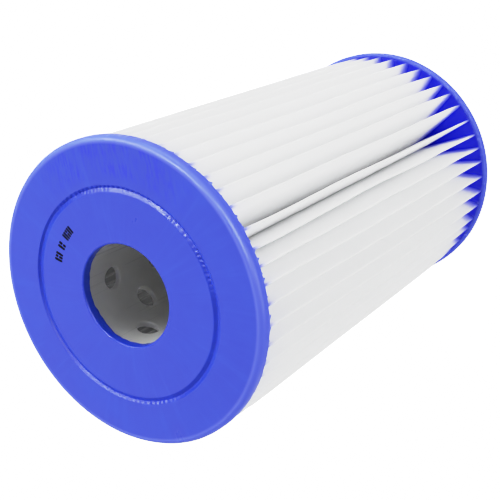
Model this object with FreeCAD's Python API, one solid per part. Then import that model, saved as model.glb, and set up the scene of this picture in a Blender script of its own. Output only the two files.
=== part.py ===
import FreeCAD, Part
import math
import os

"""Pool and spa filter cartridge, millimetres.

A perforated core tube stands inside one sheet of filter media folded into 50
pleats.  An adhesive strip joins the two ends of the sheet, and two end caps
are cast round the ends of the core and the pleats.

Frame: +Z up along the axis, origin at the centre of the bottom cap's outer
face.  Angles are measured from +Y towards +X, clockwise seen from above.
"""

V = FreeCAD.Vector

# ---------------------------------------------------------------- dimensions
OVERALL_LENGTH = 195.0      # between the outer faces of the caps

# End caps; heights are measured inwards from the outer face
CAP_R = 54.0
BORE_R = 18.0
CAP_EDGE_ROUND = 1.5        # outer edge of the outer face
BORE_EDGE_ROUND = 0.6       # mouth of the bore
LIP_H = 4.2                 # rim round the cap
LIP_T = 1.5
LIP_IN_R = CAP_R - LIP_T
LIP_OUT_ROUND = 0.45        # outer and inner edges of the rim's end
LIP_IN_ROUND = 0.3
POT_H = 3.2                 # level of the cap material between the pleats
COLLAR_H = 3.5              # lining of the bore, at its outside
COLLAR_DROP = 0.2           # the lining's end is this much lower at the bore
COLLAR_T = 0.6

# V groove in the outer face of each cap, slightly off centre
GROOVE_IN_R = 36.1
GROOVE_LOW_R = 37.5         # middle of the narrow flat bottom
GROOVE_LOW_HALF = 0.15      # half width of that flat
GROOVE_OUT_R = 38.5
GROOVE_D = 0.75
GROOVE_OVERRUN = 1.0        # the cutter starts this far outside the face
GROOVE_SHIFT = V(-0.5, 0.5, 0)

# Core tube, round the lining of the bore
CORE_WALL = 2.2
CORE_IR = BORE_R + COLLAR_T
CORE_OR = CORE_IR + CORE_WALL
CORE_POT = 1.4              # the ends stand this far inside the outer faces
HOLE_D = 8.0                # perforations, in staggered rings
HOLES_PER_RING = 5
HOLE_RINGS = 14
HOLE_RING_STEP = 12.5
HOLE_FIRST_DEG = 201.0
HOLE_FIRST_Z = 15.8         # first ring, below the top face
DRILL_OVERRUN = 1.5         # on each side of the wall

# Pleated media
PLEATS = 50
PITCH = 2.0 * math.pi / PLEATS
FIRST_PLEAT_DEG = 68.4
SHEET_T = 0.45
MEDIA_POT = 1.6             # the ends stand this far inside the outer faces
TIP_R = LIP_IN_R - 0.15     # outer edge of the folds, clear of the rim
TIP_HALF = 0.22             # half width of the flat on a fold's tip
TIP_BEVEL = 0.28            # radial depth of the bevel beside that flat
TIP_INNER_EXTRA = 0.25      # extra depth of the fold at the tip, on the inner skin
BLADE_R = 49.7              # outside this radius the two layers lie together
BLADE_HALF = 0.49           # half thickness of a pleat there
CLOSE_R = 28.2              # inside this radius neighbouring pleats lie together
VALLEY_R = 21.6             # bottom of the gap between two pleats
VALLEY_HALF_GAP = 0.12
VALLEY_INNER_OFFSET = 0.1   # the inner skin turns this far outside VALLEY_R
ROOT_R = CORE_OR + 0.3      # inner edge of the folds, clear of the core
ROOT_INSET = 0.30           # the inner skin's set-back from the outer skin there

# Seam pleat, whose two layers are the ends of the sheet
SEAM_PLEAT = 25
SEAM_ANGLE = math.radians(FIRST_PLEAT_DEG) + SEAM_PLEAT * PITCH
SHEET_END_R = TIP_R - 0.15
SEAM_IN_R = 41.0            # inner and outer edges of the adhesive strip
SEAM_OUT_R = 51.9

# Half widths of a pleat: outer skin at CLOSE_R and VALLEY_R, then the inner skin
CLOSE_HALF = CLOSE_R * math.tan(PITCH / 2) - VALLEY_HALF_GAP
VALLEY_HALF = VALLEY_R * math.tan(PITCH / 2) - VALLEY_HALF_GAP
BLADE_INNER_HALF = BLADE_HALF - SHEET_T
CLOSE_INNER_HALF = CLOSE_HALF - SHEET_T


# ---------------------------------------------------------------- helpers
def place(angle, r, y):
    """Point at distance r along the ray at `angle` and y to its clockwise side."""
    s, c = math.sin(angle), math.cos(angle)
    return V(r * s + y * c, r * c - y * s, 0)


def extrude_between(points, inset):
    """Prism on a closed outline, ending `inset` inside both outer faces."""
    face = Part.Face(Part.makePolygon(points + [points[0]]))
    solid = face.extrude(V(0, 0, OVERALL_LENGTH - 2 * inset))
    solid.translate(V(0, 0, inset))
    return solid


def revolve_outline(corners):
    """Solid of revolution about Z from corners (r, z, rounding radius).

    A corner with a rounding has to be a right angle.
    """
    points = [V(r, 0, z) for r, z, rounding in corners]
    spans = []              # where the outline enters and leaves each corner
    for i, corner in enumerate(points):
        rounding = corners[i][2]
        back = (points[i - 1] - corner).normalize() * rounding
        ahead = (points[(i + 1) % len(points)] - corner).normalize() * rounding
        spans.append((corner + back, corner + ahead, corner + back + ahead))

    edges = []
    for i, (start, end, centre) in enumerate(spans):
        if corners[i][2] > 0:
            middle = centre + (points[i] - centre) * math.sqrt(0.5)
            edges.append(Part.Arc(start, middle, end).toShape())
        edges.append(Part.makeLine(end, spans[(i + 1) % len(spans)][0]))
    solid = Part.Face(Part.Wire(edges)).revolve(V(0, 0, 0), V(0, 0, 1), 360)
    return solid if solid.Volume > 0 else solid.reversed()


# ---------------------------------------------------------------- media
def pleated_skin(flank, end_flank):
    """Points of one side of the sheet, once round from the seam pleat.

    A flank is half a pleat, as (radius, half width) from the tip inwards.
    The seam pleat uses end_flank.
    """
    points = []
    for i in range(PLEATS + 1):
        angle = SEAM_ANGLE + i * PITCH
        half = end_flank if i in (0, PLEATS) else flank
        if i > 0:
            points += [place(angle, r, -y) for r, y in reversed(half)]
        if i < PLEATS:
            points += [place(angle, r, y) for r, y in half]
    return points


def make_media():
    """The pleated sheet, open at the seam pleat, where its ends are square."""
    outer_body = [
        (BLADE_R, BLADE_HALF),
        (CLOSE_R, CLOSE_HALF),
        (VALLEY_R, VALLEY_HALF),
    ]
    outer_tip = [(TIP_R, TIP_HALF), (TIP_R - TIP_BEVEL, BLADE_HALF)]
    outer_end = [(SHEET_END_R, BLADE_HALF)]
    inner_body = [
        (BLADE_R, BLADE_INNER_HALF),
        (CLOSE_R, CLOSE_INNER_HALF),
        (VALLEY_R + VALLEY_INNER_OFFSET, VALLEY_HALF - SHEET_T),
        (ROOT_R, VALLEY_HALF - ROOT_INSET),
    ]
    inner_tip = [(TIP_R - SHEET_T - TIP_INNER_EXTRA, BLADE_INNER_HALF)]
    inner_end = [(SHEET_END_R, BLADE_INNER_HALF)]

    outer_skin = pleated_skin(outer_tip + outer_body, outer_end + outer_body)
    inner_skin = pleated_skin(inner_tip + inner_body, inner_end + inner_body)
    return extrude_between(outer_skin + inner_skin[::-1], MEDIA_POT)


def make_seam():
    """Adhesive strip between the two end flaps, inside the seam pleat."""
    inward = (BLADE_R - SEAM_IN_R) / (BLADE_R - CLOSE_R)
    mouth_half = BLADE_INNER_HALF + (CLOSE_INNER_HALF - BLADE_INNER_HALF) * inward
    side = [
        (SEAM_OUT_R, BLADE_INNER_HALF),
        (BLADE_R, BLADE_INNER_HALF),
        (SEAM_IN_R, mouth_half),
    ]
    points = [place(SEAM_ANGLE, r, y) for r, y in side]
    points += [place(SEAM_ANGLE, r, -y) for r, y in reversed(side)]
    return extrude_between(points, POT_H)


# ---------------------------------------------------------------- core tube
def make_core():
    """Tube with rings of radial holes, every other ring turned half a step."""
    height = OVERALL_LENGTH - 2 * CORE_POT
    base = V(0, 0, CORE_POT)
    tube = Part.makeCylinder(CORE_OR, height, base)
    tube = tube.cut(Part.makeCylinder(CORE_IR, height, base))
    drills = []
    for ring in range(HOLE_RINGS):
        z = OVERALL_LENGTH - HOLE_FIRST_Z - ring * HOLE_RING_STEP
        for k in range(HOLES_PER_RING):
            step = k + 0.5 * (ring % 2)
            angle = math.radians(HOLE_FIRST_DEG + 360.0 / HOLES_PER_RING * step)
            axis = place(angle, 1, 0)
            start = axis * (CORE_IR - DRILL_OVERRUN) + V(0, 0, z)
            length = CORE_WALL + 2 * DRILL_OVERRUN
            drills.append(Part.makeCylinder(HOLE_D / 2, length, start, axis))
    return tube.cut(drills)


# ---------------------------------------------------------------- end caps
def make_cap_blank():
    """Cap with its outer face at z = 0 and the potted side upwards."""
    body = revolve_outline([
        (BORE_R, 0, BORE_EDGE_ROUND),
        (CAP_R, 0, CAP_EDGE_ROUND),
        (CAP_R, LIP_H, LIP_OUT_ROUND),
        (LIP_IN_R, LIP_H, LIP_IN_ROUND),
        (LIP_IN_R, POT_H, 0),
        (CORE_OR, POT_H, 0),
        (CORE_OR, CORE_POT, 0),
        (CORE_IR, CORE_POT, 0),
        (CORE_IR, COLLAR_H, 0),
        (BORE_R, COLLAR_H - COLLAR_DROP, 0),
    ])
    groove = revolve_outline([
        (GROOVE_IN_R, -GROOVE_OVERRUN, 0),
        (GROOVE_IN_R, 0, 0),
        (GROOVE_LOW_R - GROOVE_LOW_HALF, GROOVE_D, 0),
        (GROOVE_LOW_R + GROOVE_LOW_HALF, GROOVE_D, 0),
        (GROOVE_OUT_R, 0, 0),
        (GROOVE_OUT_R, -GROOVE_OVERRUN, 0),
    ])
    groove.translate(GROOVE_SHIFT)
    return body.cut(groove)


def make_bottom_cap(media):
    """Bottom cap, formed round the lower end of the sheet."""
    return make_cap_blank().cut(media)


def make_top_cap(media):
    """The same cap turned over about X, formed round the upper end of the sheet."""
    cap = make_cap_blank()
    cap.rotate(V(0, 0, 0), V(1, 0, 0), 180)
    cap.translate(V(0, 0, OVERALL_LENGTH))
    return cap.cut(media)


# ---------------------------------------------------------------- output
media = make_media()
pieces = {
    "bottom_end_cap": make_bottom_cap(media),
    "top_end_cap": make_top_cap(media),
    "core_tube": make_core(),
    "pleated_media": media,
    "media_seam_bond": make_seam(),
}

os.makedirs("parts", exist_ok=True)
for name, shape in pieces.items():
    # a cut may wrap its single solid in a compound
    shape.Solids[0].exportStep("parts/%s.step" % name)
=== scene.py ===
"""Pleated filter cartridge: a white pleated sheet round a perforated core, between blue end caps.

It stands on its axis, Z: the bottom cap's outer face is at z = 0, the top cap's at z = LENGTH.
Lengths are in millimetres, except in shaders, lights and camera, which use metres.
Angles round the axis run from +Y towards +X.
"""
import math

import bmesh
import bpy
import numpy as np
from mathutils import Matrix, Vector
from mathutils.geometry import delaunay_2d_cdt


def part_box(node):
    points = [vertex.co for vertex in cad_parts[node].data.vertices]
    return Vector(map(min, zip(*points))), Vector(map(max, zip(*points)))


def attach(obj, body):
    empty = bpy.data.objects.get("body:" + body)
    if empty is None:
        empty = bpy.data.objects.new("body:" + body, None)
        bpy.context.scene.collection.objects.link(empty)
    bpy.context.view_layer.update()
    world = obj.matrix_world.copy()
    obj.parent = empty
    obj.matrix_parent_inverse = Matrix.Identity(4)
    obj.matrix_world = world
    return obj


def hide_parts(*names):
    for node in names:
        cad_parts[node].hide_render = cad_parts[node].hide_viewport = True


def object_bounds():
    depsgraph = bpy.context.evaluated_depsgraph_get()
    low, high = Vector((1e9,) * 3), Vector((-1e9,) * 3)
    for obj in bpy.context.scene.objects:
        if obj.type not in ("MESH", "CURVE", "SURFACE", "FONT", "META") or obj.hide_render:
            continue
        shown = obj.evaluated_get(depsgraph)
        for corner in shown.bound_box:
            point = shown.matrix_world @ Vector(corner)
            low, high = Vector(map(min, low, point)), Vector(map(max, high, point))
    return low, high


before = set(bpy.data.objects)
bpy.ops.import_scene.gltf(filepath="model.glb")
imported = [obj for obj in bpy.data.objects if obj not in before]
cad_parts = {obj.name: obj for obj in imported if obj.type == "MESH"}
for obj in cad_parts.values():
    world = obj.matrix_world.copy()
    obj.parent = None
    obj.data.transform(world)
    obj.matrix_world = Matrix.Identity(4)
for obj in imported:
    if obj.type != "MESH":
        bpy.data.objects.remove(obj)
cad_lo, cad_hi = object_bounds()

# ------------------------------------------------------------------ dimensions
MM = 0.001
FULL_TURN = 2 * math.pi
LENGTH = cad_hi[2] / MM                 # face to face

CAP_R, BORE_R = 54.0, 18.0
BORE_ROUND = 0.6                        # rounding where the bore meets the face
RIM_ROUND = 2.0                         # rounding of the outer rim
LIP_H, LIP_T = 4.2, 1.5                 # lip round the pleat tips
LIP_R = CAP_R - LIP_T
POT_H = 3.2                             # level of the cast material between the pleats
COLLAR_H = 3.5                          # lining inside the core's end
GROOVE_IN, GROOVE_LOW, GROOVE_OUT = 36.1, 37.5, 38.5    # inner edge, lowest line, outer edge
GROOVE_D = 0.75

CORE_IR, CORE_OR, CORE_MID_R = 18.6, 20.8, 19.7
CORE_Z0, CORE_Z1 = (corner[2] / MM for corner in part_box("core_tube"))

media_lo, media_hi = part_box("pleated_media")
MEDIA_TRIM = 0.15
MEDIA_Z0, MEDIA_Z1 = media_lo[2] / MM + MEDIA_TRIM, media_hi[2] / MM - MEDIA_TRIM
SHEET_T = 0.40
FOLD_R, TIP_R = 21.6, 52.40             # mid-sheet radii of the inner folds and the pleat tips
PLEATS = 50
MIDDLE = PLEATS // 2                    # number of the pleat opposite the seam
PITCH = FULL_TURN / PLEATS
FIRST = math.radians(68.4)              # angle of pleat MIDDLE
SEAM = FIRST + MIDDLE * PITCH
FLANK_GAP = 0.14                        # half the least gap between neighbouring pleats


# ------------------------------------------------------------------ helpers
def new_mesh(name, verts, faces, material, smooth=True, uv=None):
    """Object from vertices in mm and faces as an array of equal polygons or as lists."""
    mesh = bpy.data.meshes.new(name)
    verts = np.asarray(verts, float) * MM
    if isinstance(faces, np.ndarray):
        count, corners = faces.shape
        mesh.vertices.add(len(verts))
        mesh.vertices.foreach_set("co", verts.astype(np.float32).ravel())
        mesh.loops.add(count * corners)
        mesh.loops.foreach_set("vertex_index", faces.astype(np.int32).ravel())
        mesh.polygons.add(count)
        mesh.polygons.foreach_set("loop_start", (np.arange(count) * corners).astype(np.int32))
        mesh.polygons.foreach_set("loop_total", np.full(count, corners, np.int32))
        mesh.update(calc_edges=True)
    else:
        mesh.from_pydata([tuple(p) for p in verts], [], faces)
        mesh.update()
    if uv is not None:
        layer = mesh.uv_layers.new(name="UVMap")
        index = np.empty(len(mesh.loops), np.int32)
        mesh.loops.foreach_get("vertex_index", index)
        layer.data.foreach_set("uv", uv[index].astype(np.float32).ravel())
    mesh.polygons.foreach_set("use_smooth", np.full(len(mesh.polygons), smooth))
    mesh.validate()
    obj = bpy.data.objects.new(name, mesh)
    bpy.context.scene.collection.objects.link(obj)
    mesh.materials.append(material)
    return obj


def face_outward(obj):
    bm = bmesh.new()
    bm.from_mesh(obj.data)
    bmesh.ops.recalc_face_normals(bm, faces=bm.faces)
    bm.to_mesh(obj.data)
    bm.free()


def smoothstep(x):
    x = np.clip(x, 0.0, 1.0)
    return x * x * (3 - 2 * x)


def polar(theta, r, z):
    return np.stack([r * np.sin(theta), r * np.cos(theta), z + 0 * r * theta], -1)


def waves(rng, count, shortest, longest):
    """Sum of plane waves over (u, v) in mm, of about unit size."""
    length = np.exp(rng.uniform(math.log(shortest), math.log(longest), count))
    heading = rng.uniform(0, FULL_TURN, count)
    phase = rng.uniform(0, FULL_TURN, count)
    along_u = FULL_TURN / length * np.cos(heading)
    along_v = FULL_TURN / length * np.sin(heading)

    def height(u, v):
        total = sum(np.sin(a * u + b * v + p) for a, b, p in zip(along_u, along_v, phase))
        return total * math.sqrt(2.0 / count)
    return height


def ring_wave(rng, theta, fewest, most, count):
    """Sum of waves that close round the circle, each of `fewest` to `most` cycles."""
    cycles = rng.integers(fewest, most, count)
    phase = rng.uniform(0, FULL_TURN, count)
    return sum(np.sin(k * theta + p) for k, p in zip(cycles, phase)) * math.sqrt(2.0 / count)


# ------------------------------------------------------------------ shader graphs
def feed(node, inputs):
    """Sets a node's inputs, each from a Value, a number, a vector or an RGB colour."""
    for key, source in inputs.items():
        inlet = node.inputs[key]
        if isinstance(source, Value):
            source.graph.tree.links.new(source.socket, inlet)
        elif inlet.type == "RGBA":
            inlet.default_value = (*source, 1.0)
        else:
            inlet.default_value = source


class Value:
    """A node's output; arithmetic on it adds Math nodes."""

    def __init__(self, graph, socket):
        self.graph, self.socket = graph, socket

    def __add__(self, other):
        return self.graph.calc("ADD", self, other)

    def __radd__(self, other):
        return self.graph.calc("ADD", other, self)

    def __sub__(self, other):
        return self.graph.calc("SUBTRACT", self, other)

    def __rsub__(self, other):
        return self.graph.calc("SUBTRACT", other, self)

    def __mul__(self, other):
        return self.graph.calc("MULTIPLY", self, other)

    def __truediv__(self, other):
        return self.graph.calc("DIVIDE", self, other)

    def __pow__(self, other):
        return self.graph.calc("POWER", self, other)


class Graph:
    """Node tree of a material or world."""

    def __init__(self, owner, output_kind="OutputMaterial"):
        owner.use_nodes = True
        self.owner, self.tree = owner, owner.node_tree
        self.tree.nodes.clear()
        self.output = self.add(output_kind)

    def add(self, kind, inputs=None, **settings):
        node = self.tree.nodes.new("ShaderNode" + kind)
        for name, setting in settings.items():
            setattr(node, name, setting)
        feed(node, inputs or {})
        return node

    def value(self, kind, output=0, inputs=None, **settings):
        return Value(self, self.add(kind, inputs, **settings).outputs[output])

    def finish(self, surface):
        feed(self.output, {0: surface})
        return self.owner

    def coords(self, kind="Object"):
        return self.value("TexCoord", kind)

    def camera_ray(self):
        return self.value("LightPath", "Is Camera Ray")

    def split(self, vector):
        node = self.add("SeparateXYZ", {0: vector})
        return [Value(self, socket) for socket in node.outputs]

    def scaled(self, vector, scale):
        return self.value("Mapping", 0, {"Scale": scale, "Vector": vector})

    def calc(self, operation, *operands):
        return self.value("Math", 0, dict(enumerate(operands)), operation=operation)

    def radius(self, x, y):
        return self.calc("SQRT", x * x + y * y)

    def end_depth(self, z):
        """Distance from the nearer outer face."""
        return self.calc("MINIMUM", z, LENGTH * MM - z)

    def dot(self, a, b):
        return self.value("VectorMath", "Value", {0: a, 1: b}, operation="DOT_PRODUCT")

    def noise(self, vector, scale, detail=2.0, roughness=0.5, distortion=0.0):
        return self.value("TexNoise", "Fac", {
            "Vector": vector, "Scale": scale, "Detail": detail,
            "Roughness": roughness, "Distortion": distortion})

    def ramp(self, value, over, to=(0.0, 1.0)):
        """Takes the range `over` to the range `to`, held at the ends."""
        return self.value("MapRange", "Result", {
            "Value": value, "From Min": over[0], "From Max": over[1],
            "To Min": to[0], "To Max": to[1]})

    def mix(self, factor, a, b):
        return self.value("Mix", 2, {0: factor, 6: a, 7: b}, data_type="RGBA")

    def bump(self, height, strength, distance, normal=None):
        inputs = {"Strength": strength, "Distance": distance, "Height": height}
        if normal is not None:
            inputs["Normal"] = normal
        return self.value("Bump", 0, inputs)

    def principled(self, inputs):
        return self.value("BsdfPrincipled", 0, inputs)


def material_graph(name):
    return Graph(bpy.data.materials.new(name))


# ------------------------------------------------------------------ materials
CAP_BASE, CAP_CLOUD, CAP_STREAK = (0.012, 0.048, 0.600), (0.018, 0.064, 0.65), (0.034, 0.102, 0.75)
# the last two colours here are painted light: painted shade for the recessed undersides, and a
# painted highlight for the rim and the lip's edge
CAP_DEEP, CAP_RECESS_SHADE, CAP_RIM_HIGHLIGHT = (0.002, 0.020, 0.80), (0.006, 0.018, 0.90), (0.130, 0.185, 0.88)
DEEP_ANGLE = math.radians(6.0)          # middle of the deeply coloured arc
DEEP_TINT, DEEP_ROUGHNESS = 0.75, 0.10
STREAK_R = 0.045                        # radius at which angle is turned into length


def cap_material():
    """Cast blue with clouds and radial streaks, deeper in one arc; a painted highlight pales the
    rim and the lip's edge, and painted shade deepens the recessed undersides.
    """
    graph = material_graph("cast_polyurethane_blue")
    noise, ramp, mix = graph.noise, graph.ramp, graph.mix
    coords = graph.coords()
    x, y, z = graph.split(coords)
    radius = graph.radius(x, y)
    angle = graph.calc("ARCTAN2", x, y)
    unrolled = graph.value("CombineXYZ", 0, {0: angle * STREAK_R, 1: radius, 2: z})
    cloud = noise(coords, scale=55.0, detail=3.0, roughness=0.55, distortion=0.4)
    streak = noise(graph.scaled(unrolled, (420.0, 34.0, 60.0)), scale=1.0, roughness=0.6)
    fleck = noise(coords, scale=900.0)
    base = mix(ramp(cloud, over=(0.35, 0.68)), CAP_BASE, CAP_CLOUD)
    base = mix(ramp(streak, over=(0.52, 0.80), to=(0.0, 0.30)), base, CAP_STREAK)
    # one arc of the outer face is more deeply coloured and streaked across
    toward = graph.calc("COSINE", angle - DEEP_ANGLE)
    arc = ramp(toward, over=(0.70, 0.95)) * ramp(radius, over=(0.0395, 0.0425))
    brush_scale_x, brush_scale_y = 900.0, 130.0
    brushed = graph.value("CombineXYZ", 0, {0: x * brush_scale_x, 1: y * brush_scale_y})
    brush = noise(brushed, scale=1.0, detail=3.0, roughness=0.6, distortion=0.3)
    patch = noise(coords, scale=95.0, distortion=0.6)
    deep = arc * (ramp(brush, over=(0.40, 0.62)) * ramp(patch, over=(0.38, 0.58), to=(0.40, 1.0)))
    base = mix(deep * DEEP_TINT, base, CAP_DEEP)
    # the undersides keep the full depth of the pigment
    # painted shade: the recessed undersides, between the pleats and under the lip, are painted a
    # deeper blue, darker in red and green
    depth = graph.end_depth(z)
    recess_shade = ramp(depth, over=(0.0026, 0.0030)) * ramp(radius, over=(0.0523, 0.0526), to=(1.0, 0.0))
    recess_shade = recess_shade * ramp(radius, over=(0.0200, 0.0206))
    base = mix(recess_shade, base, CAP_RECESS_SHADE)
    # painted highlight: the lip's free edge and the rounded rim are painted paler, standing in for
    # the light they catch
    lip_edge_highlight = ramp(depth, over=(0.0036, 0.0041)) * ramp(radius, over=(0.0523, 0.0527))
    lip_edge_highlight = lip_edge_highlight * ramp(cloud, over=(0.3, 0.7), to=(0.75, 1.0))
    rim = ramp(radius, over=(0.0513, 0.0523)) * ramp(depth, over=(0.0010, 0.0022), to=(1.0, 0.42))
    base = mix(graph.calc("MAXIMUM", lip_edge_highlight, rim), base, CAP_RIM_HIGHLIGHT)
    roughness = (ramp(cloud, over=(0.3, 0.7), to=(0.27, 0.37))
                 + ramp(streak, over=(0.4, 0.8), to=(0.0, 0.07)))
    roughness = roughness + deep * DEEP_ROUGHNESS
    normal = graph.bump(streak, strength=0.10, distance=0.0003)
    lumps = noise(coords, scale=230.0)
    normal = graph.bump(lumps, strength=0.12, distance=0.0003, normal=normal)
    return graph.finish(graph.principled({
        "Base Color": base,
        # the bore is glossier
        "Roughness": roughness * ramp(radius, over=(0.0182, 0.0190), to=(0.55, 1.0)),
        "Specular IOR Level": 0.5,
        "Subsurface Weight": 0.12,
        "Subsurface Radius": (0.15, 0.25, 1.0),
        "Subsurface Scale": 0.0015,
        "Normal": graph.bump(fleck, strength=0.05, distance=0.0001, normal=normal)}))


MEDIA_A, MEDIA_B = (0.962, 0.963, 0.964), (0.977, 0.978, 0.979)
MEDIA_DOT, MEDIA_SHADE = (0.80, 0.80, 0.80), (0.05, 0.05, 0.051)
WICK, WICK_PALE = (0.12, 0.16, 0.86), (0.26, 0.29, 0.95)
DOT_TINT = 0.05
WICK_RAGGED = -0.0012                   # how far noise moves the wicked edge
WICK_FALLOFF, PALE_FALLOFF = 1.25, 1.3
FOLD_GLOW = 0.060                       # painted glow of the shaded face, and the painted highlight a fold adds to it
FIBRE_HEIGHT, DOT_HEIGHT = 0.5, 0.30
TRANSLUCENCY = 0.48


def media_material():
    """White spunbond cloth, blue at its ends, with painted shade on its core side and a painted
    glow. UV is in centimetres of sheet.
    """
    graph = material_graph("spunbond_polyester_white")
    noise, ramp, mix = graph.noise, graph.ramp, graph.mix
    uv = graph.value("UVMap")
    coords = graph.coords()
    x, y, z = graph.split(coords)
    # fibres are long thin noise laid two ways
    across, upright = (
        noise(graph.scaled(uv, stretch), scale=1.0, detail=3.0, roughness=0.6, distortion=1.2)
        for stretch in ((9.0, 60.0, 1.0), (70.0, 8.0, 1.0)))
    blotch = noise(uv, scale=3.2, detail=3.0, roughness=0.6)
    cells = graph.value("TexVoronoi", "Distance", {"Scale": 9.0, "Randomness": 0.25, "Vector": uv})
    dots = ramp(cells, over=(0.10, 0.26), to=(1.0, 0.0))
    colour = mix(ramp(blotch, over=(0.3, 0.7)), MEDIA_A, MEDIA_B)
    colour = mix(dots * DOT_TINT, colour, MEDIA_DOT)
    # cap material wicked into the ends of the sheet
    edge = graph.end_depth(z) + noise(uv, scale=5.0) * WICK_RAGGED
    radius = graph.radius(x, y)
    lip_rise = (LIP_H - POT_H + 0.1) * MM
    edge = edge - ramp(radius, over=(0.0500, 0.0522), to=(0.0, lip_rise))
    wick = ramp(edge, over=((POT_H - 0.8) * MM, (POT_H + 3.0) * MM), to=(0.97, 0.0)) ** WICK_FALLOFF
    reach = ramp(z, over=(0.05, 0.06), to=(0.60, 1.0))   # it climbed further at the bottom cap
    pot = POT_H * MM
    far_edge = pot + (edge - pot) * reach
    tint = ramp(far_edge, over=(pot, (POT_H + 5.5) * MM), to=(0.88, 0.0)) ** PALE_FALLOFF
    colour = mix(tint, colour, WICK_PALE)
    colour = mix(wick, colour, WICK)
    # painted shade: the core side is darkened to grey where the camera sees it; the two faces of
    # the sheet have their own stretch of UV
    inner_face = ramp(graph.split(uv)[1], over=(24.0, 26.0), to=(1.0, 0.0))
    outward = graph.dot(graph.value("NewGeometry", "Normal"), graph.scaled(coords, (1.0, 1.0, 0.0)))
    fold = ramp(graph.calc("ABSOLUTE", outward / radius), over=(0.2, 0.9))
    shade = inner_face * graph.camera_ray() * ramp(radius, over=(0.0480, 0.0510), to=(0.94, 0.0))
    colour = mix(shade, colour, MEDIA_SHADE)
    # painted light: the cloth is given a faint glow, standing in for light soaked into it from
    # round about
    painted_soak_glow = (ramp(radius, over=(0.0290, 0.0400), to=(0.034, 0.055))
            - inner_face * ramp(radius, over=(0.0280, 0.0380), to=(0.034, 0.0)))
    # painted light: the shaded core side glows faintly, and more at the folds, where the sheet
    # faces along the radius
    inner_glow = shade * (FOLD_GLOW + fold * FOLD_GLOW)
    fibres = across + upright
    cloth = graph.principled({
        "Base Color": colour,
        "Emission Color": mix(shade, colour, (1.0, 1.0, 1.0)),
        "Emission Strength": painted_soak_glow * (1.0 - shade) + inner_glow,
        "Roughness": 0.85,
        "Specular IOR Level": 0.25,
        "Sheen Weight": 0.12,
        "Sheen Roughness": 0.5,
        "Normal": graph.bump(fibres * FIBRE_HEIGHT - dots * DOT_HEIGHT,
                             strength=0.35, distance=0.00016)})
    through = graph.value("BsdfTranslucent", 0, {"Color": colour})
    return graph.finish(graph.value("MixShader", 0, {0: TRANSLUCENCY, 1: cloth, 2: through}))


def core_material():
    """Natural polypropylene with faint lines drawn along the tube."""
    graph = material_graph("core_polypropylene_natural")
    coords = graph.coords()
    cloud = graph.noise(coords, scale=70.0, detail=3.0)
    draw = graph.noise(graph.scaled(coords, (900.0, 900.0, 18.0)), scale=1.0)
    blend = graph.ramp(cloud, over=(0.3, 0.7))
    return graph.finish(graph.principled({
        "Base Color": graph.mix(blend, (0.53, 0.53, 0.51), (0.59, 0.59, 0.57)),
        "Roughness": graph.ramp(draw, over=(0.3, 0.7), to=(0.26, 0.40)),
        "Subsurface Weight": 0.25,
        "Subsurface Radius": (1.0, 1.0, 0.9),
        "Subsurface Scale": 0.003,
        "Normal": graph.bump(draw, strength=0.03, distance=0.0001)}))


def seam_material():
    """Glossy cream adhesive."""
    graph = material_graph("hot_melt_adhesive")
    cloud = graph.noise(graph.coords(), scale=260.0)
    return graph.finish(graph.principled({
        "Base Color": graph.mix(cloud, (0.78, 0.76, 0.66), (0.86, 0.85, 0.78)),
        "Roughness": 0.22,
        "Subsurface Weight": 0.4,
        "Subsurface Radius": (1.0, 0.95, 0.8),
        "Subsurface Scale": 0.001,
        "Normal": graph.bump(cloud, strength=0.2, distance=0.0002)}))


def ink_material():
    """Matt black."""
    graph = material_graph("jet_ink_black")
    grain = graph.noise(graph.coords(), scale=1500.0, roughness=0.6)
    return graph.finish(graph.principled({
        "Base Color": graph.mix(grain, (0.002, 0.002, 0.004), (0.006, 0.006, 0.010)),
        "Roughness": graph.ramp(grain, over=(0.3, 0.7), to=(0.75, 0.9)),
        "Specular IOR Level": 0.08}))


def floor_material():
    """Pale ground, far brighter to the camera than to the object."""
    graph = material_graph("floor_pale")
    return graph.finish(graph.principled({
        "Base Color": (0.78, 0.78, 0.78),
        "Roughness": 0.9,
        "Specular IOR Level": 0.0,
        "Emission Color": (1.0, 1.0, 1.0),
        "Emission Strength": graph.ramp(graph.camera_ray(), over=(0.0, 1.0), to=(0.10, 1.5))}))


cap_blue = cap_material()
media_white = media_material()
core_plastic = core_material()
seam_glue = seam_material()
ink_black = ink_material()

# ------------------------------------------------------------------ how the pleats stand
pleat_rng = np.random.default_rng(41)


def around(size, keep=0.5):
    """A value per pleat, neighbours alike, the seam pleat's two halves equal."""
    v = pleat_rng.normal(0, 1, PLEATS)
    v = keep * v + (1 - keep) * 0.5 * (np.roll(v, 1) + np.roll(v, -1))
    v *= size / max(v.std(), 1e-9)
    return np.append(v, v[0])


def wave_modes(keep, sizes):
    """(half waves over the height, size per pleat) for each entry of `sizes`."""
    return [(half_waves, around(size, keep)) for half_waves, size in sizes]


# degrees: shift along the circle, and lean from bottom cap to top cap
spread = np.clip(around(0.55, 0.8), -1.1, 1.1)
lean = -2.5 + around(0.35)
# pleats near MIDDLE stand in set places
spread[MIDDLE - 7:MIDDLE + 8] = [
    -0.6, 0.1, 0.4, 0.0, -0.3, -1.3, -1.4, 0.0, 0.5, 0.2, -0.2, 0.3, 0.6, 0.9, 1.4]
lean[MIDDLE - 1:MIDDLE + 5] = [-2.2, -1.9, -2.3, -2.7, -2.7, -3.2]
spread, lean = np.radians(spread), np.radians(lean)
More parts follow.
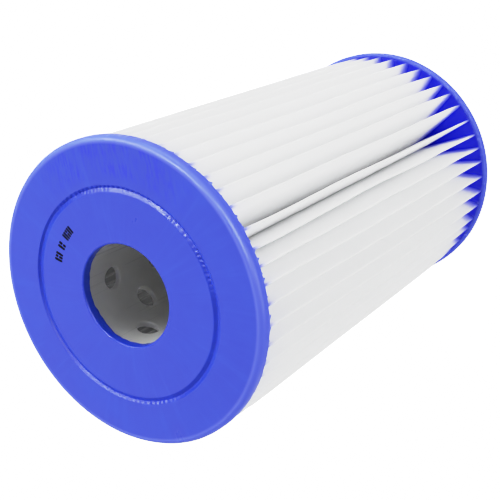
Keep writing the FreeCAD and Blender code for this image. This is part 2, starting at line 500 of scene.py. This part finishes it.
# sideways sway, puffing of the flanks, and depth of the tips
SWAY = wave_modes(0.45, ((1, 0.22), (2, 0.15), (3, 0.11), (4, 0.08), (5, 0.06), (7, 0.04)))
PUFF = wave_modes(0.6, ((1, 0.10), (2, 0.07), (3, 0.06), (5, 0.04)))
DEPTH = wave_modes(0.6, ((1, 0.12), (2, 0.09), (4, 0.05)))
ripple = waves(pleat_rng, 14, 7.0, 30.0)
fine_ripple = waves(pleat_rng, 14, 3.0, 7.0)
SWAY += wave_modes(0.8, ((11, 0.035), (16, 0.025), (23, 0.018)))

# half thickness of a pleat against radius
HALF_R = [20.0, 28.2, 28.9, 32.0, 35.9, 42.7, 47.0, 49.7, 60.0]
HALF_W = [2.4, 1.78, 1.70, 1.46, 1.20, 0.825, 0.60, 0.50, 0.50]


def modes(table, j, t):
    return sum(size[j] * np.sin(k * math.pi * t) for k, size in table)


def height_share(z):
    return (z - MEDIA_Z0) / (MEDIA_Z1 - MEDIA_Z0)


def tip_radius(j, z):
    """Mid-sheet radius of tip j at height z: held inside the rims, fuller between them."""
    t = height_share(z)
    from_lip = np.minimum(z - LIP_H, LENGTH - LIP_H - z)
    # a few folds bulge more, most of all next to the top cap
    near = np.exp(-((j - MIDDLE - 12.5) / 4.2) ** 2)
    bulge = near * smoothstep((from_lip - 0.5) / 13.0) * (0.45 + 1.15 * np.clip(t, 0, 1) ** 1.3)
    return TIP_R + 0.25 * smoothstep((from_lip + 2.0) / 30.0) + 0.5 * modes(DEPTH, j, t) + bulge


def stretched(j, r, z):
    """Radius r of the plain pleat, drawn out to where tip j really is."""
    return FOLD_R + (r - FOLD_R) * (tip_radius(j, z) - FOLD_R) / (TIP_R - FOLD_R)


def pleat_angle(j, r, z):
    """Angle of pleat j's middle plane at radius r and height z."""
    t = height_share(z)
    weight = np.clip((r - 22.0) / 30.0, 0, 1.1) ** 1.15
    return SEAM + j * PITCH + weight * (
        spread[j] + lean[j] * np.clip(t, 0, 1) + modes(SWAY, j, t) / 52.0)


def half_width(j, side, r, z):
    """Mid-sheet distance of a flank from its pleat's middle plane."""
    puff = 1 + modes(PUFF, j, height_share(z)) * smoothstep((50.5 - r) / 6.0)
    free = np.interp(r, HALF_R, HALF_W) * puff - SHEET_T / 2
    gap = side * (pleat_angle(j + side, r, z) - pleat_angle(j, r, z))
    room = r * gap / 2 - FLANK_GAP - SHEET_T / 2
    # soft minimum of the two
    soft = 0.10
    least = np.minimum(free, room)
    total = np.exp(-(free - least) / soft) + np.exp(-(room - least) / soft)
    return np.maximum(least - soft * np.log(total), 0.240)


def z_levels(count, z0, z1):
    """Closer together next to the caps."""
    t = np.linspace(0, 1, count)
    t = t - 0.10 * np.sin(FULL_TURN * t)
    return z0 + (z1 - z0) * t


# ------------------------------------------------------------------ pleated sheet
FLANK_R = [23.2, 25.4, 27.6, 30.0, 33.0, 36.2, 39.4, 42.6, 45.6, 48.2, 50.2]
# (distance inside the tip, offset from the pleat's middle plane)
ROUND_TIP = ((1.10, 0.250), (0.55, 0.245), (0.20, 0.205), (0.05, 0.115))
FLAP_TIP = ((0.95, 0.315), (0.5, 0.315), (0.05, 0.315))
# (radius, offset from the plane midway between two pleats)
VALLEY = ((21.80, -0.345), (21.55, -0.260), (21.42, 0.0), (21.55, 0.260), (21.80, 0.345))
FLAP_SPREAD = 0.03                      # the sheet's end flaps stand this much wider
UV_PER_MM = 0.1
BACK_UV_SHIFT = 31.0


def crumple(j, side, r, z):
    """Small unevenness of a flank, fading towards folds and caps."""
    u = r * side + 61.0 * j
    uneven = 0.055 * ripple(u, z) + 0.018 * fine_ripple(u, z)
    uneven = uneven * smoothstep((r - 24) / 6) * smoothstep((50.5 - r) / 3)
    uneven = uneven * smoothstep((z - MEDIA_Z0) / 6) * smoothstep((MEDIA_Z1 - z) / 6)
    return np.maximum(uneven, -0.1)


def flank(j, side, z):
    """Columns of one flank: towards the tip on side -1, away from it on side 1."""
    is_flap = j in (0, PLEATS)
    points = []
    for plain_r in FLANK_R:
        r = stretched(j, plain_r, z)
        extra = FLAP_SPREAD if is_flap else crumple(j, side, r, z)
        points.append((r, half_width(j, side, r, z) + extra))
    for back, offset in FLAP_TIP if is_flap else ROUND_TIP:
        points.append((tip_radius(j, z) - back, offset))
    if side > 0:
        points.reverse()
    return [polar(pleat_angle(j, r, z) + side * offset / r, r, z) for r, offset in points]


def valley(j, z):
    """Columns of the inner fold between pleats j and j + 1."""
    columns = []
    for plain_r, offset in VALLEY:
        r = np.full_like(z, plain_r)
        middle = 0.5 * (pleat_angle(j, r, z) + pleat_angle(j + 1, r, z))
        columns.append(polar(middle + offset / r, r, z))
    return columns


def pleated_media():
    """The sheet from one end flap to the other, thickened to two skins."""
    zs = z_levels(84, MEDIA_Z0, MEDIA_Z1)
    columns = flank(0, 1, zs) + valley(0, zs)
    for j in range(1, PLEATS):
        tip = tip_radius(j, zs)
        columns += flank(j, -1, zs) + [polar(pleat_angle(j, tip, zs), tip, zs)]
        columns += flank(j, 1, zs) + valley(j, zs)
    columns += flank(PLEATS, -1, zs)

    middle = np.stack(columns, 0)                    # (along the sheet, heights, 3)
    n_along, n_up = middle.shape[:2]
    normal = np.cross(np.gradient(middle, axis=0), np.gradient(middle, axis=1))
    normal /= np.linalg.norm(normal, axis=-1, keepdims=True)
    skins = [middle + normal * SHEET_T / 2, middle - normal * SHEET_T / 2]
    verts = np.concatenate([skin.reshape(-1, 3) for skin in skins])
    steps = np.linalg.norm(np.diff(middle[:, n_up // 2], axis=0), axis=1)
    run = np.concatenate([[0], np.cumsum(steps)])
    uv = (np.stack(np.meshgrid(run, zs, indexing="ij"), -1) * UV_PER_MM).reshape(-1, 2)
    uvs = np.concatenate([uv, uv + [0.0, BACK_UV_SHIFT]])

    back = n_along * n_up                            # index shift to the second skin
    index = np.arange(back).reshape(n_along, n_up)
    quads = np.stack([index[:-1, :-1], index[1:, :-1], index[1:, 1:], index[:-1, 1:]], -1)
    quads = quads.reshape(-1, 4)
    faces = [quads, (quads + back)[:, ::-1]]
    for edge in (index[:, 0], index[::-1, -1], index[-1, :], index[0, ::-1]):
        here, there = edge[:-1], edge[1:]
        faces.append(np.stack([there, here, here + back, there + back], -1))
    return new_mesh("pleated_sheet", verts, np.concatenate(faces), media_white, uv=uvs)


# half section of the adhesive: (radius, distance from the seam's middle plane)
BOND_PROFILE = [
    (43.5, 0.0), (43.6, 0.10), (44.4, 0.13), (47.0, 0.085), (49.5, 0.075), (51.3, 0.075),
    (51.9, 0.08), (52.03, 0.22), (52.18, 0.34), (52.38, 0.36), (52.52, 0.24), (52.56, 0.0)]


def seam_bond():
    """Adhesive between the sheet's two end flaps, squeezed out a little at the fold line."""
    zs = z_levels(160, MEDIA_Z0 + 1.0, MEDIA_Z1 - 1.0)
    section = BOND_PROFILE + [(r, -y) for r, y in reversed(BOND_PROFILE[1:-1])]
    bead = waves(np.random.default_rng(5), 10, 3.0, 14.0)
    taper = smoothstep((zs - zs[0]) / 0.8) * smoothstep((zs[-1] - zs) / 0.8) * 0.7 + 0.3
    columns = []
    for plain_r, y in section:
        r = stretched(0, plain_r, zs)
        if plain_r > 52.1:
            r = r + 0.10 * bead(zs, 9.0)
        swell = 1 + 0.25 * bead(zs, 0.0) if plain_r > 51.95 else 1.0
        columns.append(polar(pleat_angle(0, r, zs) + y * swell * taper / r, r, zs))
    verts = np.stack(columns, 0)
    index = np.arange(verts.shape[0] * verts.shape[1]).reshape(verts.shape[:2])
    after = np.roll(index, -1, axis=0)
    quads = np.stack([index[:, 1:], index[:, :-1], after[:, :-1], after[:, 1:]], -1)
    faces = quads.reshape(-1, 4).tolist()
    faces += [np.roll(end, 1).tolist() for end in (index[::-1, 0], index[:, -1])]
    return new_mesh("seam_adhesive", verts.reshape(-1, 3), faces, seam_glue)


# ------------------------------------------------------------------ end caps
CAP_COLUMNS = 1200


def arc_points(r, z, radius, start, end, count):
    """Points of an arc about (r, z), angles in degrees."""
    angles = np.radians(np.linspace(start, end, count))
    return [(r + radius * math.cos(a), z + radius * math.sin(a)) for a in angles]


def level(z, radii):
    return [(r, z) for r in radii]


def cap_profile():
    """Section as radii, heights and zone names; z runs from the outer face inwards."""
    inner, low, outer, deep = GROOVE_IN, GROOVE_LOW, GROOVE_OUT, GROOVE_D
    runs = [
        ("", arc_points(BORE_R + BORE_ROUND, BORE_ROUND, BORE_ROUND, 180, 270, 6)),
        ("face", level(0.0, np.linspace(19.6, 34.6, 15))),
        ("face", [(inner - 0.9, 0.0), (inner - 0.45, 0.0), (inner - 0.2, 0.004),
                  (inner - 0.05, 0.025)]),
        ("groove", [(inner + 0.10, 0.09), (inner + 0.35, 0.24), (inner + 0.65, 0.42),
                    (inner + 0.95, 0.60), (low - 0.22, deep - 0.05), (low - 0.08, deep),
                    (low + 0.08, deep), (low + 0.20, deep - 0.06), (low + 0.42, 0.52),
                    (low + 0.65, 0.32), (low + 0.85, 0.13), (outer - 0.04, 0.05)]),
        ("face", [(outer + 0.06, 0.012), (outer + 0.25, 0.0), (outer + 0.6, 0.0)]),
        ("face", level(0.0, np.linspace(40.0, 51.5, 12))),
        ("rim", arc_points(CAP_R - RIM_ROUND, RIM_ROUND, RIM_ROUND, 270, 360, 12)),
        ("rim", [(CAP_R, 2.5), (CAP_R, 2.9), (CAP_R, 3.3)]),
        ("lip", arc_points(CAP_R - 0.5, LIP_H - 0.5, 0.5, 0, 90, 6)),
        ("lip", [(53.2, LIP_H), (52.95, LIP_H + 0.03)]),
        ("lip", arc_points(LIP_R + 0.3, LIP_H - 0.25, 0.3, 90, 180, 5)),
        ("", [(LIP_R, LIP_H - 0.45), (52.48, POT_H + 0.15), (52.40, POT_H + 0.04)]),
        ("pot", level(POT_H, np.linspace(52.2, 20.95, 46))),
        ("", [(CORE_OR - 0.02, POT_H - 0.05), (CORE_OR, 2.3), (CORE_OR, 1.4), (CORE_MID_R, 1.4),
              (CORE_IR, 1.4), (CORE_IR, 2.2), (CORE_IR, 2.9)]),
        ("collar", [(CORE_IR + 0.02, COLLAR_H), (18.45, COLLAR_H + 0.04),
                    (18.2, COLLAR_H - 0.10), (BORE_R, COLLAR_H - 0.35)]),
        ("", [(BORE_R, 2.5), (BORE_R, 1.7), (BORE_R, 0.9)])]
    points = np.array([point for _, run in runs for point in run])
    zones = np.array([zone for zone, run in runs for _ in run])
    return points[:, 0], points[:, 1], zones


def lip_cusps(rng, theta, top, pot_z):
    """Height of the cusps that stand up between the pleat tips."""
    tips = np.sort(np.mod([pleat_angle(j, 52.0, pot_z) for j in range(PLEATS)], FULL_TURN))
    gaps = 0.5 * (tips + np.append(tips[1:], tips[0] + FULL_TURN))
    some = rng.choice(gaps, PLEATS // 2, replace=False)
    gaps = np.concatenate([gaps, some + rng.uniform(0.35, 0.65, PLEATS // 2) * PITCH])
    rises = rng.uniform(0.5, 2.3, len(gaps)) * (1.0 if top else 0.3)
    skews = rng.uniform(-0.7, 0.7, len(gaps))
    cusps = np.zeros_like(theta)
    for gap, rise, skew in zip(gaps, rises, skews):
        away = (np.mod(theta - gap + math.pi, FULL_TURN) - math.pi) * 53.0 + skew
        spike = rise * np.clip(1 - np.abs(away) / (0.32 + 0.12 * rise), 0, 1)
        cusps = np.maximum(cusps, spike + 0.12 * rise * np.exp(-(away / 1.0) ** 2))
    return cusps


# arcs where the groove is serrated: (weight, middle in degrees, cosine at the end, fade)
SERRATED_ARCS = ((1.0, 8, 0.62, 0.25), (0.9, 56, 0.76, 0.14), (0.6, 184, 0.80, 0.15))


def serrate_groove(rng, theta, r, z):
    """New (r, z) of the groove rows, with fine serrations, stronger in some arcs."""
    strength = sum(weight * smoothstep((np.cos(theta - math.radians(middle)) - end) / fade)
                   for weight, middle, end, fade in SERRATED_ARCS)
    strength = np.clip(0.06 + strength, 0, 1.0)
    saw = 0.5 + 0.5 * np.cos(118 * theta + 1.1 * np.sin(7 * theta) + 0.7 * np.sin(23 * theta))
    saw = saw ** 1.6
    lump = 0.5 + 0.25 * ring_wave(rng, theta, 60, 150, 12)
    depth = np.clip(z / GROOVE_D, 0, 1)
    outer_wall = smoothstep((r - GROOVE_LOW + 0.1) / 0.5)
    inner_wall = smoothstep((GROOVE_LOW - r) / 0.4)
    new_r = r - 0.42 * strength * saw * outer_wall * (0.35 + 0.65 * depth)
    new_z = z - 0.22 * strength * depth * (saw * outer_wall + lump * inner_wall)
    return new_r, new_z


def flank_climb(theta, r, pot_z):
    """How far the cast material climbs the pleat flanks at radius r."""
    pleats = np.sort(np.mod([pleat_angle(j, r, pot_z) for j in range(PLEATS)], FULL_TURN))
    following = np.searchsorted(pleats, theta) % PLEATS
    ahead = np.mod(pleats[following] - theta, FULL_TURN) * r
    behind = np.mod(theta - pleats[following - 1], FULL_TURN) * r
    half = min(np.interp(r, HALF_R, HALF_W), r * PITCH / 2 - FLANK_GAP)
    away = np.minimum(ahead, behind) - half
    return 0.55 * np.exp(-np.clip(away, 0, 9) / 0.45) * smoothstep((r - 20.9) / 0.8)


def end_cap(name, top, seed):
    """Closed ring swept round the axis and made uneven zone by zone."""
    rng = np.random.default_rng(seed)
    theta = np.linspace(0, FULL_TURN, CAP_COLUMNS, endpoint=False)
    profile_r, profile_z, zones = cap_profile()
    r = profile_r[:, None] + 0 * theta
    z = profile_z[:, None] + 0 * theta
    pot_z = LENGTH - POT_H if top else POT_H

    # outer face: very slightly uneven, as cast
    cast = waves(rng, 12, 14.0, 45.0)
    x, y = r * np.sin(theta), r * np.cos(theta)
    face = zones == "face"
    z[face] += 0.012 * cast(x, y)[face]
    # rim out of round, lip edge uneven, collar edge ragged
    rim, lip, collar = ((zones == zone)[:, None] for zone in ("rim", "lip", "collar"))
    r += rim * 0.05 * ring_wave(rng, theta, 3, 14, 6) * (z / 3.0).clip(0, 1)
    z += lip * (0.10 * ring_wave(rng, theta, 5, 40, 10) + 0.05 * ring_wave(rng, theta, 60, 160, 10))
    z += collar * (0.20 * ring_wave(rng, theta, 2, 9, 6) + 0.10 * ring_wave(rng, theta, 12, 40, 8))
    cusps = lip_cusps(rng, theta, top, pot_z)
    z += lip * cusps
    r -= lip * 0.35 * cusps
    groove = zones == "groove"
    r[groove], z[groove] = serrate_groove(rng, theta, r[groove], z[groove])
    # the groove sits a little off centre
    shift_x, shift_y = (-0.5, -0.5) if top else (-0.5, 0.5)
    near = smoothstep((r - 28.0) / 6.0) * smoothstep((47.0 - r) / 6.0) * (z < 1.0)
    r += near * (shift_x * np.sin(theta) + shift_y * np.cos(theta))
    for row in np.where(zones == "pot")[0]:
        z[row] += flank_climb(theta, r[row, 0], pot_z) + 0.04 * cast(x[row], y[row] + 300)

    verts = polar(theta, r, LENGTH - z if top else z).reshape(-1, 3)
    index = np.arange(r.size).reshape(r.shape)
    after = np.roll(index, -1, axis=0)
    quads = np.stack([index, np.roll(index, -1, axis=1), np.roll(after, -1, axis=1), after], -1)
    quads = quads.reshape(-1, 4)
    return new_mesh(name, verts, quads if top else quads[:, ::-1], cap_blue)


# ------------------------------------------------------------------ core tube
# The wall is laid out flat as (length round the tube, depth below the top cap's face), then rolled.
HOLE_R = 4.0
HOLE_RIM_R = HOLE_R + 0.55              # where the hole's rounding meets the wall
HOLE_GUARD = 0.9                        # a second loop of points this far outside the rim
HOLE_SEGMENTS = 32
HOLES_PER_RING, HOLE_RINGS, RING_STEP = 5, 14, 12.5
HOLE_PITCH = 360.0 / HOLES_PER_RING     # degrees; every other ring is turned by half of it
FIRST_HOLE, FIRST_RING = 201.0, 15.8    # degrees, and depth below the face
CUT_ANGLE = FIRST_HOLE - HOLE_PITCH / 4     # the cut runs midway between columns of holes
MM_PER_DEGREE = math.pi / 180 * CORE_MID_R
ROUND_STEPS, DEPTH_STEPS = 110, 84
HOLES = [(FIRST_HOLE + HOLE_PITCH * (k + 0.5 * (ring % 2)), FIRST_RING + ring * RING_STEP)
         for ring in range(HOLE_RINGS) for k in range(HOLES_PER_RING)]
HOLE_ANGLES = np.linspace(0, FULL_TURN, HOLE_SEGMENTS, endpoint=False)
# wall of a hole: (widening beyond HOLE_R, distance out from the tube's inner surface)
HOLE_WALL = [(0.36, 0.02), (0.20, 0.08), (0.07, 0.20), (0.01, 0.38), (0.0, 0.55), (0.0, 1.1),
             (0.0, 1.8), (0.05, 2.0), (0.18, 2.14)]


def hole_point(hole, radius, a, surface_r):
    """(degrees round the tube, depth) of a point on a loop about a hole."""
    theta, depth = HOLES[hole]
    return (theta + math.degrees(math.asin(radius * math.cos(a) / surface_r)),
            depth + radius * math.sin(a))


def core_layout():
    """Flat points, triangles, loop points as {index: (hole, radius, angle)}, and edge chains."""
    points, edges, loop_points = [], [], {}

    def put(u, depth):
        points.append((u, depth))
        return len(points) - 1

    for hole in range(len(HOLES)):
        for radius in (HOLE_RIM_R, HOLE_RIM_R + HOLE_GUARD):
            loop = []
            for a in HOLE_ANGLES:
                theta, depth = hole_point(hole, radius, a, CORE_IR)
                loop.append(put((theta - CUT_ANGLE) * MM_PER_DEGREE, depth))
                loop_points[loop[-1]] = (hole, radius, a)
            if radius == HOLE_RIM_R:
                edges += list(zip(loop, loop[1:] + loop[:1]))
    width, height = 360.0 * MM_PER_DEGREE, CORE_Z1 - CORE_Z0
    top = LENGTH - CORE_Z1
    bottom = top + height
    start, end, upper, lower = [], [], [], []
    for i in range(DEPTH_STEPS + 1):
        depth = top + (bottom - top) * i / DEPTH_STEPS
        start.append(put(0.0, depth))
        end.append(put(width, depth))
    for i in range(1, ROUND_STEPS):
        u = width * i / ROUND_STEPS
        upper.append(put(u, top))
        lower.append(put(u, bottom))
    upper = [start[0]] + upper + [end[0]]
    lower = [start[-1]] + lower + [end[-1]]
    for chain in (start, end, upper, lower):
        edges += list(zip(chain[:-1], chain[1:]))

    # staggered, slightly shaken points fill the wall between the holes
    centres = np.array([((t - CUT_ANGLE) * MM_PER_DEGREE, d) for t, d in HOLES])
    rng = np.random.default_rng(3)
    step_u, step_z = width / ROUND_STEPS, height / DEPTH_STEPS
    for i in range(1, ROUND_STEPS):
        for j in range(1, DEPTH_STEPS):
            stagger = (0.5 if j % 2 else 0.0) - 0.25
            p = np.array([step_u * (i + stagger), top + step_z * j])
            p += rng.uniform(-0.12, 0.12, 2)
            away = np.hypot(*(centres - p).T).min()
            if away > HOLE_RIM_R + 1.7 and 0.6 < p[0] < width - 0.6:
                put(*p)
    result = delaunay_2d_cdt([Vector(p) for p in points], edges, [], 0, 1e-6)
    if len(result[0]) != len(points):
        raise RuntimeError("core layout changed its points")
    flat = np.array([tuple(v) for v in result[0]])
    tris = np.array([f for f in result[2] if len(f) == 3])
    area = np.cross(flat[tris[:, 1]] - flat[tris[:, 0]], flat[tris[:, 2]] - flat[tris[:, 0]])
    tris[area < 0] = tris[area < 0][:, ::-1]
    # drop the triangles whose corners all lie on one hole's rim
    hole_of, place = np.divmod(tris, 2 * HOLE_SEGMENTS)
    inside = ((hole_of[:, 0] < len(HOLES)) & (hole_of == hole_of[:, :1]).all(1)
              & (place < HOLE_SEGMENTS).all(1))
    return flat, tris[~inside], loop_points, (start, end, upper, lower)


def core_tube():
    """Perforated tube: two rolled surfaces joined at the ends and through every hole."""
    flat, tris, loop_points, (start, end, upper, lower) = core_layout()
    count = len(flat)
    weld = np.arange(count)
    weld[end] = start

    def rolled(surface_r):
        theta = flat[:, 0] / MM_PER_DEGREE + CUT_ANGLE
        for i, (hole, radius, a) in loop_points.items():
            theta[i] = hole_point(hole, radius, a, surface_r)[0]
        return polar(np.radians(theta), np.full(count, surface_r), LENGTH - flat[:, 1])

    verts = [rolled(CORE_IR), rolled(CORE_OR)]
    tris = np.concatenate([weld[tris][:, ::-1], weld[tris] + count])
    base = 2 * count
    quads = []
    for hole in range(len(HOLES)):
        rim = np.arange(HOLE_SEGMENTS) + hole * 2 * HOLE_SEGMENTS
        loops = [rim]
        for widening, out in HOLE_WALL:
            r = CORE_IR + out
            ring = np.array([hole_point(hole, HOLE_R + widening, a, r) for a in HOLE_ANGLES])
            verts.append(polar(np.radians(ring[:, 0]), np.full(HOLE_SEGMENTS, r),
                               LENGTH - ring[:, 1]))
            loops.append(np.arange(base, base + HOLE_SEGMENTS))
            base += HOLE_SEGMENTS
        loops.append(rim + count)
        for a, b in zip(loops[:-1], loops[1:]):
            quads.append(np.stack([a, np.roll(a, -1), np.roll(b, -1), b], -1))
    for chain, flip in ((upper, False), (lower, True)):
        c = weld[chain]
        strip = np.stack([c[:-1], c[1:], c[1:] + count, c[:-1] + count], -1)
        quads.append(strip[:, ::-1] if flip else strip)
    quads = np.concatenate(quads)
    # the welded edge leaves unused vertices behind
    used = np.unique(np.concatenate([tris.ravel(), quads.ravel()]))
    verts = np.concatenate(verts)
    renumber = -np.ones(len(verts), int)
    renumber[used] = np.arange(len(used))
    faces = renumber[tris].tolist() + renumber[quads].tolist()
    tube = new_mesh("perforated_core", verts[used], faces, core_plastic)
    face_outward(tube)
    return tube


# ------------------------------------------------------------------ ink marks
# groups of bars: (start and end in degrees, one entry per bar, 1 for a broken bar)
INK_GROUPS = [(-66.0, -59.2, (0, 1, 0)), (-56.0, -51.2, (0, 1)), (-47.2, -37.4, (0, 0, 1, 0, 0))]
INK_R_IN, INK_R_OUT = 27.9, 31.1
INK_MARGIN = 0.10                       # share of a bar's step left clear at each side
INK_BREAK = 0.16                        # half the gap in a broken bar
PAD_CORNERS = 28
PAD_LEVELS = ((1.0, -0.06), (1.0, 0.010), (0.86, 0.028))    # (size, height above the face)


def rounded(value):
    """Superellipse coordinate from a sine or cosine."""
    return math.copysign(abs(value) ** 0.45, value)


def ink_pad(rng, verts, faces, angle_lo, angle_hi, r_lo, r_hi):
    """Adds a thin domed blob of ink with rounded, slightly ragged corners."""
    n = PAD_CORNERS
    base = len(verts)
    angle, mid_r = math.radians(0.5 * (angle_lo + angle_hi)), 0.5 * (r_lo + r_hi)
    half_round = 0.5 * math.radians(angle_hi - angle_lo) * mid_r
    half_r = 0.5 * (r_hi - r_lo)
    ragged = [1 + rng.uniform(-0.05, 0.05) for _ in range(n)]
    for size, height in PAD_LEVELS:
        for i in range(n):
            t = FULL_TURN * i / n
            r = mid_r + half_r * rounded(math.sin(t)) * size * ragged[i]
            theta = angle + half_round * rounded(math.cos(t)) * size * ragged[i] / mid_r
            verts.append((r * math.sin(theta), r * math.cos(theta), LENGTH + height))
    for k in (base, base + n):
        for i in range(n):
            after = (i + 1) % n
            faces.append([k + i, k + after, k + n + after, k + n + i])
    faces.append([base + i for i in reversed(range(n))])
    faces.append([base + 2 * n + i for i in range(n)])


def ink_print():
    """A row of plain upright bars in three groups on the top cap; they spell nothing."""
    verts, faces = [], []
    rng = np.random.default_rng(12)
    for start, end, bars in INK_GROUPS:
        step = (end - start) / len(bars)
        for i, broken in enumerate(bars):
            sides = start + step * (i + INK_MARGIN), start + step * (i + 1 - INK_MARGIN)
            if broken:
                mid_r = 0.5 * (INK_R_IN + INK_R_OUT) + rng.uniform(-0.3, 0.3)
                spans = [(INK_R_IN, mid_r - INK_BREAK), (mid_r + INK_BREAK, INK_R_OUT)]
            else:
                spans = [(INK_R_IN + rng.uniform(-0.1, 0.1), INK_R_OUT + rng.uniform(-0.1, 0.1))]
            for span in spans:
                ink_pad(rng, verts, faces, *sides, *span)
    ink = new_mesh("ink_marks", verts, faces, ink_black)
    face_outward(ink)
    return ink


# ------------------------------------------------------------------ assemble
def place(obj, slot, stand_in=None):
    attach(obj, "root")
    if stand_in:
        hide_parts(stand_in)


place(pleated_media(), "media", "pleated_media")
place(seam_bond(), "seam", "media_seam_bond")
place(end_cap("cap_top", top=True, seed=21), "end_caps", "top_end_cap")
place(end_cap("cap_bottom", top=False, seed=22), "end_caps", "bottom_end_cap")
place(core_tube(), "core", "core_tube")
place(ink_print(), "end_caps")

# ------------------------------------------------------------------ floor and room
FLOOR_HALF, FLOOR_Z = 4000.0, -0.05
floor_corners = [(sx * FLOOR_HALF, sy * FLOOR_HALF, FLOOR_Z)
                 for sx, sy in ((-1, -1), (1, -1), (1, 1), (-1, 1))]
new_mesh("floor", floor_corners, [[0, 1, 2, 3]], floor_material(), smooth=False)

# camera axes
RIGHT = Vector((0.82796725, -0.16164647, -0.5369736))
UP = Vector((0.0, 0.95755376, -0.28825475))
BACK = Vector((0.56077645, 0.23866549, 0.79282315))
BRIGHT_SIDE = Vector((0.10, 0.80, 0.50))


def studio_world():
    """A pale room, brighter towards BRIGHT_SIDE and dim where the camera stands."""
    graph = Graph(bpy.data.worlds.new("studio"), "OutputWorld")
    direction = graph.coords("Generated")
    glow = graph.ramp(graph.dot(direction, BRIGHT_SIDE.normalized()),
                      over=(-0.1, 0.9), to=(0.40, 0.50))
    dim = graph.ramp(graph.dot(direction, BACK.normalized()), over=(0.84, 0.98), to=(1.0, 0.20))
    room = graph.value("Background", 0, {"Color": (1.0, 1.0, 1.0), "Strength": glow * dim})
    backdrop = graph.value("Background", 0, {"Color": (1.5, 1.5, 1.5)})
    return graph.finish(graph.value("MixShader", 0, {0: graph.camera_ray(), 1: room, 2: backdrop}))


scene = bpy.context.scene
scene.world = studio_world()

# ------------------------------------------------------------------ lights
LIGHT_REACH = 1.1
body_middle = Vector((0, 0, LENGTH * MM / 2))
top_middle = Vector((0, 0, LENGTH * MM))


def area_light(name, target, direction, size, power):
    """Disk light aimed at the target from LIGHT_REACH times the direction away."""
    light = bpy.data.lights.new(name, "AREA")
    light.shape = "DISK"
    light.size = size
    light.energy = power
    obj = bpy.data.objects.new(name, light)
    scene.collection.objects.link(obj)
    location = target + direction * LIGHT_REACH
    obj.location = location
    obj.rotation_euler = (target - location).to_track_quat("-Z", "Y").to_euler()
    return obj


# (name, direction, size, power)
for name, direction, size, power in (
        ("key", (-0.48, 0.60, 0.64), 0.6, 6.0),
        ("side", (0.98, -0.08, -0.12), 0.8, 7.6),
        ("back", (0.12, 0.99, 0.04), 0.9, 5.2),
        ("sheen", (-0.56, -0.20, 0.80), 1.0, 2.9)):
    area_light(name, body_middle, Vector(direction), size, power)
# two that only put a gloss on the rims and the groove
for name, direction, size, power in (
        ("gloss_over", (-0.06, 0.52, 0.85), 0.30, 6.0),
        ("gloss_front", (0.66, 0.34, 0.66), 0.80, 9.0)):
    gloss = area_light(name, top_middle, Vector(direction).normalized(), size, power)
    gloss.visible_diffuse = False

# ------------------------------------------------------------------ camera and rendering
CAMERA_PLACE = Vector((4.168, 1.650, 4.497))    # in cap radii, from the top face's centre

camera_data = bpy.data.cameras.new("camera")
camera_data.sensor_fit = "HORIZONTAL"
camera_data.sensor_width = 36.0
camera_data.lens = 73.78848
camera_data.clip_start = 0.01
camera_data.clip_end = 50.0
camera = bpy.data.objects.new("camera", camera_data)
scene.collection.objects.link(camera)
pose = Matrix((RIGHT, UP, BACK)).transposed().to_4x4()
pose.translation = CAMERA_PLACE * (CAP_R * MM) + top_middle
camera.matrix_world = pose
scene.camera = camera

view = scene.view_settings
view.view_transform = "Standard"
view.look = "None"
view.exposure = 0.0
view.gamma = 1.0
# soft shoulder: the brightest whites crowd together just below paper white
WHITE_LEVEL = 2.0
TONES = (                               # (scene brightness, shown brightness)
    (0.10, 0.095), (0.20, 0.21), (0.35, 0.45), (0.5, 0.65), (0.65, 0.755),
    (0.8, 0.81), (1.0, 0.85), (1.25, 0.92), (1.5, 1.0))
view.use_curve_mapping = True
mapping = view.curve_mapping
mapping.white_level = (WHITE_LEVEL, WHITE_LEVEL, WHITE_LEVEL)
mapping.extend = "HORIZONTAL"
curve = mapping.curves[3]
for brightness, shown in TONES:
    curve.points.new(brightness / WHITE_LEVEL, shown)
curve.points[0].location = (0.0, 0.0)
curve.points[len(curve.points) - 1].location = (1.0, 1.0)
mapping.update()

cycles = scene.cycles
cycles.max_bounces = 28
cycles.diffuse_bounces = 20
cycles.transmission_bounces = 20
